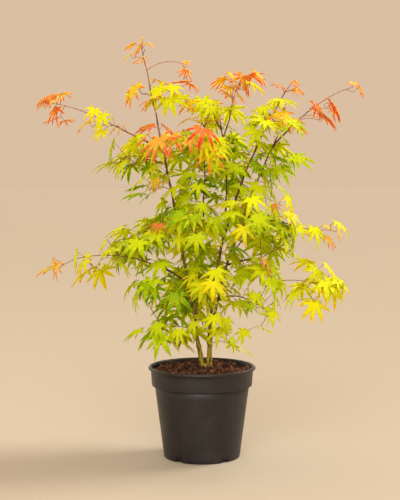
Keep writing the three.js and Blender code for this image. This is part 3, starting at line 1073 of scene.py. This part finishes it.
@dataclass
class Crown:
    """Shoots, stalks and leaves, grown from the limbs into the masses by a seeded rule.

    Every mass gets shoot tips spread evenly through it, kept a leaf's length inside its skin. Each tip
    is reached by a shoot from the nearest limb or earlier shoot, which arches up and levels out, and
    bears opposite pairs of leaves at its nodes and a pair at its end.
    """

    blade: float = 48 * MM
    overhang: float = 9 * MM
    # Leaf pairs along a shoot, and the chance that one leaf of a pair is lost.
    pair_spacing: float = 31 * MM
    most_pairs: int = 4
    uneven: Range = (0.85, 1.15)
    turn_stray: float = 0.3
    bare_foot: float = 12 * MM
    slack: float = 1.05
    lost: float = 0.12
    # Shoots: thickness, the choice of wood, and the arch as shares of the reach.
    shoot_radius: float = 0.95 * MM
    tip_radius: float = 0.55 * MM
    stalk_radius: float = 0.42 * MM
    long_shoot: float = 120 * MM
    shoot_step: float = 4 * MM
    uphill: float = 1.5
    least_steps: int = 8
    stalk_steps: int = 6
    arch_middle: float = 0.45
    arch_along: float = 0.16
    arch_up: float = 0.1
    arch_stray: float = 0.04
    # Masses: cubic metres for each leaf, and how far inside its skin a mass's tips lie, in leaf lengths.
    room_per_leaf: float = 5.9e-6
    most_tips: int = 12
    inset: tuple[float, float, float] = (0.6, 0.6, 0.3)
    least_inner: float = 0.38
    tries: int = 14
    outer_share: float = 0.45
    # Leaves along the limbs themselves, smaller towards the leader, and the share of a limb that bears them.
    limb_spacing: float = 43 * MM
    leader: float = 20 * MM
    leader_stray: float = 4 * MM
    tip_leaf: float = 0.58
    leaf_gain: float = 0.18
    tip_gap: float = 0.6
    clothed: dict[str, float] = field(default_factory=lambda: {"stem_bark": 0.84, "bough_bark": 0.8})
    accents: tuple[Accent, ...] = (
        Accent("left_coral", Side.FRONT, Tint.CORAL, 1.3),
        Accent("left_coral", Side.RIGHT, Tint.CORAL, 1.1),
        Accent("front_coral", Side.TOP, Tint.RED, 1.2),
        Accent("front_coral", Side.LEFT, Tint.CORAL, 0.9),
        Accent("front_coral", Side.FOOT, Tint.AMBER, 1.2),
        Accent("left_inner", Side.TOP, Tint.RED, 0.85),
        Accent("left_upper", Side.FRONT, Tint.CORAL, 0.8),
        Accent("right_low", Side.TOP, Tint.CORAL, 1.05),
        Accent("right_upper", Side.FRONT, Tint.RED, 0.5),
        Accent("right_high", Side.RIGHT, Tint.AMBER, 0.9),
        Accent("far_left_high", Side.LEFT, Tint.RED, 0.7),
        Accent("far_left_high", Side.FRONT, Tint.CORAL, 0.8),
        Accent("far_left_mid", Side.FRONT, Tint.LIME, 0.85),
        Accent("far_left_tip", Side.FRONT, Tint.CORAL, 0.75),
        Accent("far_right_top", Side.FRONT, Tint.CORAL, 0.6),
        Accent("far_right_high", Side.FRONT, Tint.RED, 0.8),
        Accent("far_right_high", Side.RIGHT, Tint.CORAL, 0.95),
        Accent("far_right_mid", Side.LEFT, Tint.LIME, 1.0),
        Accent("far_right_mid", Side.RIGHT, Tint.AMBER, 0.8),
        Accent("crest_right", Side.FRONT, Tint.CORAL, 0.85),
        Accent("crest_right", Side.LEFT, Tint.AMBER, 0.8),
        Accent("crest_left", Side.TOP, Tint.CORAL, 0.55),
        Accent("leader_top", Side.TOP, Tint.CORAL, 0.45),
        Accent("leader_low", Side.RIGHT, Tint.YELLOW, 0.75),
    )
    # Leaves that face outward: square metres of a mass's front for each.
    facing_room: float = 2.4e-3
    facing_shift: float = 0.4
    facing_ahead: float = 0.6
    facing_up: float = 0.2
    behind: float = 80 * MM
    front_weight: float = 250 * MM
    stance: Stance = Stance()
    season: Season = Season()
    habit: LeafHabit = LeafHabit()
    shoot_tube: Tube = Tube(6, 4 * MM)
    stalk_tube: Tube = Tube(5, 6 * MM)
    seed: int = 11
    form: LeafForm = field(default_factory=LeafForm)
    shoot_bark: YoungBark = YoungBark("shoot_bark", 0.25, 0.85,
                                      ("#7d6a28", "#8a5a30", "#a8663c", "#c07a48"))
    stalk_skin: YoungBark = YoungBark("stalk_skin", 0.25, 0.85,
                                      ("#a8862a", "#b8702c", "#c0602e", "#cc6a3c"))

    def grow(self, limbs: list[Limb], masses: list[Mass]) -> None:
        """Set the leaves that turned early or face outward, then clothe the limbs and fill the masses."""
        self.rng = np.random.default_rng(self.seed)
        self.shoots: list[tuple[Array, Array]] = []
        self.stalks: list[Array] = []
        self.leaves: dict[Tint, list[tuple]] = {tint: [] for tint in Tint}
        self.tally = {mass.name: 0 for mass in masses}
        self.low = np.array(CAD_BOX[0]) - self.overhang
        self.high = np.array(CAD_BOX[1]) + self.overhang
        self.wood = np.concatenate([limb.points for limb in limbs])
        self.way = np.concatenate([unit(np.gradient(limb.points, axis=0)) for limb in limbs])
        for accent in self.accents:
            mass = next(m for m in masses if m.name == "leaves_" + accent.mass)
            place = mass.centre + mass.half * np.array(accent.side.value)
            self._face(place, -FRONT_TO_BACK, mass, accent.tint, self.blade * accent.size)
        for mass in masses:
            self._grow_facing(mass)
        for limb in limbs:
            self._clothe(limb, masses)
        for mass in masses:
            self._grow_mass(mass)
        log.info("crown: %d shoots, %d leaves", len(self.shoots), sum(map(len, self.leaves.values())))

    def _reach(self, tip: Array) -> tuple[Array, float]:
        """Grow a shoot to a tip from the nearest wood, where wood above the tip counts as farther.

        The middle of the shoot then counts as wood that later shoots can leave.
        """
        above = np.maximum(self.wood[:, 2] - tip[2], 0.0)
        number = int((np.linalg.norm(self.wood - tip, axis=1) + self.uphill * above).argmin())
        path = self._shoot(self.wood[number], self.way[number], tip)
        length = float(np.linalg.norm(np.diff(path, axis=0), axis=1).sum())
        base = self.tip_radius + (self.shoot_radius - self.tip_radius) * min(1.0, length / self.long_shoot)
        self.shoots.append((path, np.linspace(base, self.tip_radius, len(path))))
        middle = slice(3, -2)
        self.wood = np.vstack([self.wood, path[middle]])
        self.way = np.vstack([self.way, unit(np.gradient(path, axis=0))[middle]])
        return path, length

    def _grow_mass(self, mass: Mass) -> None:
        """Reach one tip of a mass after another until it bears as many leaves as it has room for."""
        size = self.blade * mass.vigour
        target = float(np.prod(mass.half)) / self.room_per_leaf
        inner = np.maximum(mass.half - size * np.array(self.inset), mass.half * self.least_inner)
        for tip in self._spread(mass.centre, inner, self.most_tips):
            if self.tally[mass.name] >= target:
                break
            path, length = self._reach(tip)
            self._leaf_pairs(path, length, mass, size)

    def _face(self, place: Array, outward: Array, mass: Mass, tint: Tint, size: float) -> None:
        """Reach one place and set a single leaf there with its blade turned outward."""
        path, _ = self._reach(place)
        lift = self.facing_up * UP
        forward = self.facing_ahead * outward + lift
        self._leaf(path[-1], forward, outward + lift, size, mass, tint, last=True, facing=True)

    def _grow_facing(self, mass: Mass) -> None:
        """Set leaves that face the light over the outer side of a mass, as many as it has room for.

        Outward is away from the pot's axis, and to the front for a mass that isn't behind the stems.
        The places are spread through a smaller copy of the mass that is moved outward.
        """
        ahead = FRONT_TO_BACK if mass.centre[1] > self.behind else -FRONT_TO_BACK
        outward = unit(mass.centre * LEVEL / self.front_weight + ahead)
        count = round(4 * mass.half[0] * mass.half[2] / self.facing_room)
        middle = mass.centre + self.facing_shift * mass.half * outward
        for place in self._spread(middle, (1 - self.facing_shift) * mass.half, count):
            self._face(place, outward, mass, self._deal(mass, place), self.blade * mass.vigour)

    def _mass_at(self, place: Array, masses: list[Mass]) -> Mass:
        """Find the mass that holds a place, or the one that it is least far outside of."""
        return min(masses, key=lambda m: float(np.linalg.norm((place - m.centre) / m.half)))

    def _clothe(self, limb: Limb, masses: list[Mass]) -> None:
        """Carry a limb on as a thin leading shoot, and set leaf pairs at the nodes of its upper part."""
        heading = unit(limb.points[-1] - limb.points[-4])
        tip = limb.points[-1] + heading * self.leader + self.rng.normal(0, self.leader_stray, 3)
        path = self._shoot(limb.points[-1], heading, tip)
        self.shoots.append((path, np.linspace(limb.radii[-1], self.tip_radius, len(path))))
        whole = np.vstack([limb.points, path])
        walked = distances(whole)
        tangents = unit(np.gradient(whole, axis=0))
        slot = next(slot for slot in self.clothed if limb.name in nodes_with(slot))
        bare = walked[-1] * (1 - self.clothed[slot])
        at, number, turn = walked[-1], 0, self.rng.random() * math.tau
        while at > bare:
            i = int(np.searchsorted(walked, at).clip(0, len(whole) - 1))
            mass = self._mass_at(whole[i], masses)
            size = self.blade * mass.vigour * min(1.0, self.tip_leaf + self.leaf_gain * number)
            tint = self._deal(mass, whole[i])
            self._pair(whole[i], tangents[i], turn + number * math.pi / 2, mass, size, tint, number)
            at -= self.limb_spacing * self.rng.uniform(*self.uneven) * (1.0 if number else self.tip_gap)
            number += 1

    def _leaf_pairs(self, path: Array, length: float, mass: Mass, size: float) -> None:
        """Set opposite pairs back from a shoot's tip, as far as the shoot stays inside its mass."""
        tint = self._deal(mass, path[-1])
        walked = distances(path)
        tangents = unit(np.gradient(path, axis=0))
        turn = self.rng.normal(0, self.turn_stray)
        for number in range(self.most_pairs):
            at = length - number * self.pair_spacing * self.rng.uniform(*self.uneven)
            i = int(np.searchsorted(walked, at).clip(0, len(path) - 1))
            outside = (np.abs(path[i] - mass.centre) > mass.half * self.slack).any()
            if number and (at < self.bare_foot or outside):
                break
            self._pair(path[i], tangents[i], turn + number * math.pi / 2, mass, size, tint, number)

    def _pair(self, foot: Array, tangent: Array, quarter: float, mass: Mass, size: float,
              tint: Tint, number: int) -> None:
        """Set two opposite leaves, turned a quarter from the pair before. Now and then one is lost."""
        level = unit(np.cross(UP, tangent) + 1e-6)
        out = level * math.cos(quarter) + np.cross(tangent, level) * math.sin(quarter)
        for sign in (-1, 1):
            if number == 0 or self.rng.random() > self.lost:
                self._leaf(foot, tangent, out * sign, size, mass, tint, number == 0)

    def _deal(self, mass: Mass, place: Array) -> Tint:
        """Draw a tint for a spray of a mass.

        The youngest growth, at the top, is never darker than lime and often a step warmer, and old growth
        deep in the crown never goes past yellow.
        """
        tints, shares = zip(*DEALS[mass.slot])
        order = list(Tint)
        step = order.index(tints[self.rng.choice(len(tints), p=shares)])
        top = float(smooth_step(*self.season.top, place[2]))
        end = float(smooth_step(*self.season.rim, math.hypot(place[0], place[1])))
        lime = order.index(Tint.LIME)
        if top > self.season.never_dark:
            step = max(step, lime)
        if top + end < self.season.inner:
            return order[min(step, lime + int(self.rng.random() < self.season.inner_yellow))]
        warmer = self.rng.random() < self.season.warmer * top
        return order[min(step + warmer + (warmer and step <= lime), len(order) - 1)]

    def _spread(self, centre: Array, inner: Array, count: int) -> Array:
        """Choose points in an ellipsoid, each the farthest of a few tries from those before it."""
        chosen: list[Array] = []
        for _ in range(count):
            ways = unit(self.rng.normal(size=(self.tries, 3)))
            tries = ways * self.rng.random((self.tries, 1)) ** self.outer_share
            gaps = [min([np.linalg.norm(t - c) for c in chosen], default=0.0) for t in tries]
            chosen.append(tries[int(np.argmax(gaps))])
        return centre + np.array(chosen).reshape(-1, 3) * inner

    def _shoot(self, foot: Array, heading: Array, tip: Array) -> Array:
        """Arch a shoot from its foot to its tip: a curve of three points that leaves along the wood."""
        reach = float(np.linalg.norm(tip - foot))
        bend = foot + (tip - foot) * self.arch_middle + heading * reach * self.arch_along
        bend += UP * reach * self.arch_up
        bend += self.rng.normal(0, self.arch_stray, 3) * reach
        return arch(foot, bend, tip, max(self.least_steps, int(reach / self.shoot_step)))

    def _leaf(self, foot: Array, forward: Array, out: Array, size: float, mass: Mass,
              tint: Tint, last: bool, facing: bool = False) -> None:
        """Set one leaf: a stalk that leaves the shoot sideways and rises, and a blade that hangs from it.

        Blades low in the crown hang steeply and those at its top lie nearly level. One that would reach out
        of the plant's own room is made smaller, or left off.
        """
        stance = self.stance
        young = 1.0 if tint in (Tint.CORAL, Tint.RED) else mass.young
        aside = self.rng.uniform(*(stance.aside_at_tip if last else stance.aside))
        way = unit(out * aside + forward * stance.forward + UP * stance.upward
                   + self.rng.normal(0, stance.stray, 3))
        way[2] = np.clip(way[2], *stance.slopes)
        length = stance.stalk * self.rng.uniform(*stance.stalk_lengths) * (1 - stance.young_shorter * young)
        scale = size * self.rng.uniform(*stance.sizes)
        end = foot + way * length
        outward = unit(foot * LEVEL + 1e-6)
        flat = unit(way * LEVEL + stance.outward * outward + 1e-6)
        low = 1 - float(smooth_step(*stance.low_to_high, foot[2]))
        least, most = np.array(stance.hang) + low * np.array(stance.hang_more_low)
        hang = math.radians(self.rng.uniform(least, most) + stance.hang_more_facing * facing)
        ahead = flat * math.cos(hang) - UP * math.sin(hang)
        side = np.cross(UP, flat) * stance.half_width
        while any((end + s * scale < self.low).any() or (end + s * scale > self.high).any()
                  for s in (ahead, side, -side)):
            scale *= stance.shrink
            if scale < stance.least_size * size:
                return
        along, rise = stance.bend
        bend = foot + way * length * along + UP * length * rise
        self.stalks.append(arch(foot, bend, end, self.stalk_steps))
        self.leaves[tint].append((end, ahead, scale, young))
        self.tally[mass.name] += 1

    def build(self) -> list[Piece]:
        """Make the shoots, the stalks and one piece of leaves for each tint."""
        shoots, stalks = Shapes(), Shapes()
        for path, radii in self.shoots:
            self.shoot_tube.build(path, radii, shoots)
        for path in self.stalks:
            self.stalk_tube.build(path, np.full(len(path), self.stalk_radius), stalks)
        pieces = [shoots.piece("shoots", self.shoot_bark.material()),
                  stalks.piece("leaf_stalks", self.stalk_skin.material())]
        for piece in pieces:
            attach(piece, "root")
        standing = set()
        for number, tint in enumerate(Tint):
            if not self.leaves[tint]:
                continue
            slot = tint.value[0]
            piece = self._leaf_piece(tint, number)
            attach(piece, "root")
            if slot not in standing:
                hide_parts(*nodes_with(slot))
                standing.add(slot)
            pieces.append(piece)
        return pieces

    def _leaf_piece(self, tint: Tint, seed: int) -> Piece:
        """Join all leaves of a tint, with the heart, blade and lobe tips in their own plain colours."""
        batch = LeafBatch(self.leaves[tint], self.habit, seed)
        points = self.form.place(batch)
        count, corners = points.shape[:2]
        offset = corners * np.arange(count)[:, None, None]
        table = np.array(self.form.triangles)
        faces = (table[None, :, :3] + offset).reshape(-1, 3)
        word = tint.name.lower()
        zones = [LeafBlade(f"leaf_{word}_{zone}", colour).material()
                 for zone, colour in zip(("heart", "blade", "tips"), tint.value[1:])]
        return mesh_piece(f"leaves_{word}", points.reshape(-1, 3), [faces], zones,
                          np.tile(table[:, 3], count), smooth=False)


# ---- studio


@dataclass(frozen=True)
class Lamp:
    """A light that faces the plant: a sun of some degrees across, or a panel with a side in metres."""

    name: str
    colour: str
    strength: float
    place: tuple[float, float, float]
    degrees: float = 0.0
    side: float = 0.0
    aim: float = 0.0

    def hang(self) -> None:
        """Make the light and turn it to face the height on the pot's axis that it is aimed at."""
        data = bpy.data.lights.new(self.name, "AREA" if self.side else "SUN")
        data.energy = self.strength
        data.color = linear(self.colour)[:3]
        if self.side:
            data.size = self.side
        else:
            data.angle = math.radians(self.degrees)
        light = bpy.data.objects.new(self.name, data)
        light.location = self.place
        way = np.array([0, 0, self.aim]) - np.array(self.place)
        light.rotation_euler = (math.atan2(math.hypot(way[0], way[1]), -way[2]), 0,
                                math.atan2(way[1], way[0]) - math.pi / 2)
        bpy.context.scene.collection.objects.link(light)


@dataclass
class Studio:
    """A plain pale floor, soft warm daylight from the right and the camera in front."""

    floor_half: float = 60.0
    floor_colour: str = "#aca292"
    floor_roughness: float = 0.85
    sky_colour: str = "#dabfa2"
    lamps: tuple[Lamp, ...] = (
        Lamp("low_sun", "#fff9ee", 2.8, (0.75, 0.28, 0.85), degrees=24),
        Lamp("back_bounce", "#fff2dc", 1.3, (-0.5, 1.0, 0.4), degrees=100),
        Lamp("front_fill", "#fffaf2", 205, (-0.4, -4.2, 2.7), side=3.6, aim=0.45),
    )
    camera_at: tuple[float, float, float] = (-0.004, -2.31, 0.573)
    camera_dip: float = 3.67
    camera_lens: float = 81.65
    camera_sensor: float = 36.0

    def build(self) -> None:
        """Lay the floor, hang the lights and set the camera."""
        look = NodeMaterial("studio_floor", Base_Color=linear(self.floor_colour),
                            Roughness=self.floor_roughness)
        corners = self.floor_half * np.array([[-1, -1, 0], [1, -1, 0], [1, 1, 0], [-1, 1, 0]])
        mesh_piece("studio_floor", corners, [np.array([[0, 1, 2, 3]])], [look.material])
        for lamp in self.lamps:
            lamp.hang()
        world = bpy.data.worlds.new("studio_air")
        world.use_nodes = True
        sky = world.node_tree.nodes["Background"]
        sky.inputs["Color"].default_value = linear(self.sky_colour)
        sky.inputs["Strength"].default_value = 1.0
        scene = bpy.context.scene
        scene.world = world
        scene.view_settings.view_transform = "Standard"
        camera = bpy.data.objects.new("camera", bpy.data.cameras.new("camera"))
        camera.data.lens = self.camera_lens
        camera.data.sensor_width = self.camera_sensor
        camera.location = self.camera_at
        camera.rotation_euler = (math.radians(90 - self.camera_dip), 0, 0)
        scene.collection.objects.link(camera)
        scene.camera = camera


# ---- putting it together


def report(pieces: list[Piece]) -> None:
    """Log each piece with its number of faces."""
    for piece in pieces:
        log.info("%s: %d faces", piece.name, len(piece.data.polygons))


def main() -> None:
    """Build the pot, the compost, the bark and the crown in order, then the studio."""
    logging.basicConfig(level=logging.INFO, format="%(name)s: %(message)s")
    Studio().build()
    report([NurseryPot().build()])
    report(Compost().build())
    limbs = [Limb.read(name) for slot in ("stem_bark", "bough_bark") for name in nodes_with(slot)]
    report(Bark().build(limbs))
    slots = [tint.value[0] for tint in Tint]
    masses = [Mass.read(name, slot) for slot in dict.fromkeys(slots) for name in nodes_with(slot)]
    crown = Crown()
    crown.grow(limbs, masses)
    report(crown.build())


if __name__ == "__main__":
    main()
